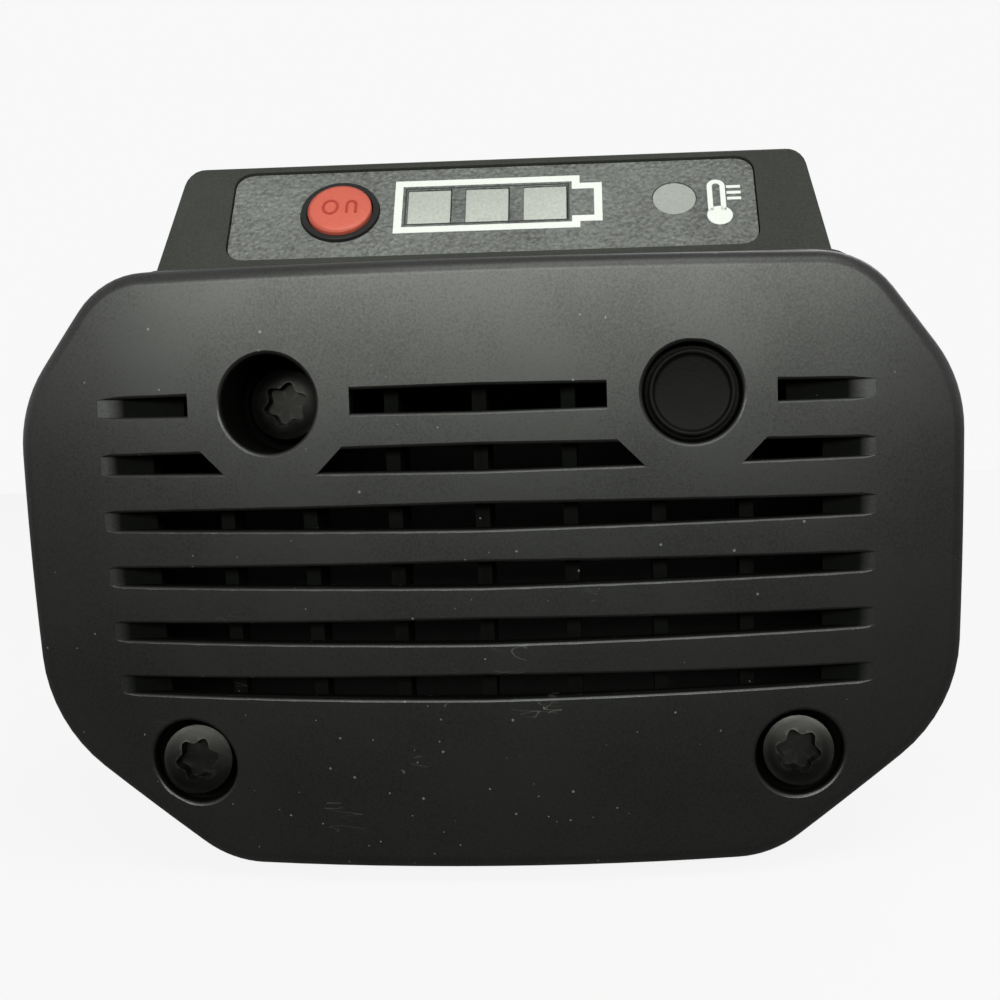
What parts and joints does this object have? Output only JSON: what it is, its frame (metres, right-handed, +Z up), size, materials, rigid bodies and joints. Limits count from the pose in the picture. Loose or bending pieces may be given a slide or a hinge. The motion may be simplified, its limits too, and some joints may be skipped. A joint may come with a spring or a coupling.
{
  "type": "power tool battery pack",
  "caption": "Slide-on battery pack for a cordless power tool: octagonal case with a crowned vented base, a slanted charge display with a push button, side catches and a railed contact end.",
  "frame": {"origin": "middle of the box's underside: the pack lies on the long wall opposite the display", "axes": "+X to the right of someone facing the vented base, +Y from the vented base into the pack towards the tool end, +Z up towards the display"},
  "size_m": [0.0866, 0.117, 0.0669],
  "materials": {
    "cover_plastic": "fine-grained charcoal moulding",
    "housing_plastic": "fine-grained charcoal moulding",
    "panel_plastic": "textured dark grey moulding",
    "seal_rubber": "soft black",
    "button_red": "satin red moulding",
    "window_grey": "light grey diffuser",
    "plug_rubber": "black",
    "screw_steel": "dark phosphate finish",
    "board_green": "solder mask",
    "switch_black": "moulded",
    "led_resin": "resin",
    "cable_black": "jacket",
    "holder_plastic": "moulded",
    "cell_sleeve": "shrink sleeve",
    "bar_nickel": "nickel-plated strip",
    "insulator_black": "pressed fibre sheet",
    "lead_red": "jacket",
    "lead_black": "jacket",
    "bead_resin": "dipped bead",
    "pin_steel": "zinc-plated",
    "carrier_plastic": "glass-filled moulding",
    "contact_brass": "plated spring alloy",
    "latch_plastic": "fine-grained moulding",
    "spring_steel": "drawn wire"
  },
  "bodies": {
    "pack": {"base_cover": "cover_plastic", "main_housing": "housing_plastic", "cover_screws": "screw_steel", "seal_plug": "plug_rubber", "display_panel": "panel_plastic", "button_seal": "seal_rubber", "charge_windows": "window_grey", "temperature_window": "window_grey", "display_board": "board_green", "button_switch": "switch_black", "charge_leds": "led_resin", "temperature_led": "led_resin", "display_cable": "cable_black", "front_cell_holder": "holder_plastic", "rear_cell_holder": "holder_plastic", "negative_busbar": "bar_nickel", "series_link_1": "bar_nickel", "series_link_2": "bar_nickel", "series_link_3": "bar_nickel", "series_link_4": "bar_nickel", "positive_busbar": "bar_nickel", "front_insulator": "insulator_black", "positive_lead": "lead_red", "negative_lead": "lead_black", "thermistor": "bead_resin", "control_board": "board_green", "board_screws": "pin_steel", "contact_carrier": "carrier_plastic", "positive_contact": "contact_brass", "negative_contact": "contact_brass", "signal_contacts": "contact_brass", "latch_spring_left": "spring_steel", "latch_spring_right": "spring_steel", "cell_1": "cell_sleeve", "cell_2": "cell_sleeve", "cell_3": "cell_sleeve", "cell_4": "cell_sleeve", "cell_5": "cell_sleeve", "cell_6": "cell_sleeve", "cell_7": "cell_sleeve", "cell_8": "cell_sleeve", "cell_9": "cell_sleeve", "cell_10": "cell_sleeve"},
    "button": {"on_button": "button_red"},
    "left_catch": {"release_latch_left": "latch_plastic"},
    "right_catch": {"release_latch_right": "latch_plastic"}
  },
  "joints": [
    {"name": "button_press", "type": "slide", "parent": "pack", "child": "button", "axis": [0, 0.788, -0.6157], "range_m": [0, 0.0007], "stiffness_N_per_m": 2000, "springref_m": -0.0003},
    {"name": "left_catch_press", "type": "slide", "parent": "pack", "child": "left_catch", "axis": [1, 0, 0], "range_m": [0, 0.0032], "stiffness_N_per_m": 1800, "springref_m": -0.001, "deforming": ["latch_spring_left"]},
    {"name": "right_catch_press", "type": "slide", "parent": "pack", "child": "right_catch", "axis": [-1, 0, 0], "range_m": [0, 0.0032], "stiffness_N_per_m": 1800, "springref_m": -0.001, "deforming": ["latch_spring_right"]}
  ]
}
